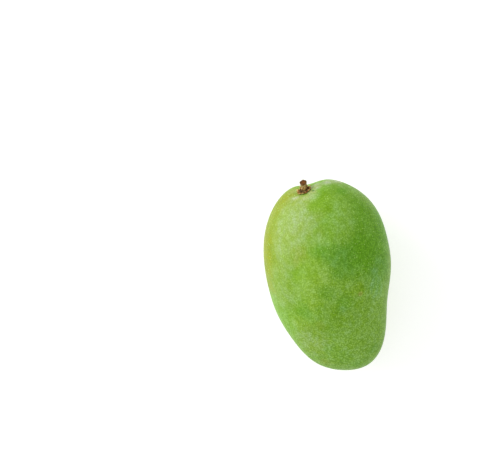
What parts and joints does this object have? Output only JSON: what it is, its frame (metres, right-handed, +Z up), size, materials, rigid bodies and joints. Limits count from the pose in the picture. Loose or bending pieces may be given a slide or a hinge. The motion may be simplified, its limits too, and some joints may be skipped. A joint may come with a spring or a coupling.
{
  "type": "mango",
  "caption": "Whole green mango as picked, lying on its cheek, with a broken woody stalk stub standing in a ragged dry calyx.",
  "frame": {"origin": "on the surface that the fruit lies on, under the middle of its box", "axes": "+Y along the fruit towards its stalk, +X towards the side that the beak leans to, +Z up through the two cheeks"},
  "size_m": [0.079, 0.1232, 0.072],
  "materials": {
    "skin": "waxy satin fruit skin, green, mottled with yellow-green and deep green, with fine pale dots",
    "stalk_wood": "dry weathered bark, grey-brown, darker at the foot and round the broken top",
    "dry_calyx": "dry papery scales, reddish brown with paler tips"
  },
  "bodies": {
    "root": {"fruit": "skin", "stalk": "stalk_wood", "calyx": "dry_calyx"}
  },
  "joints": []
}
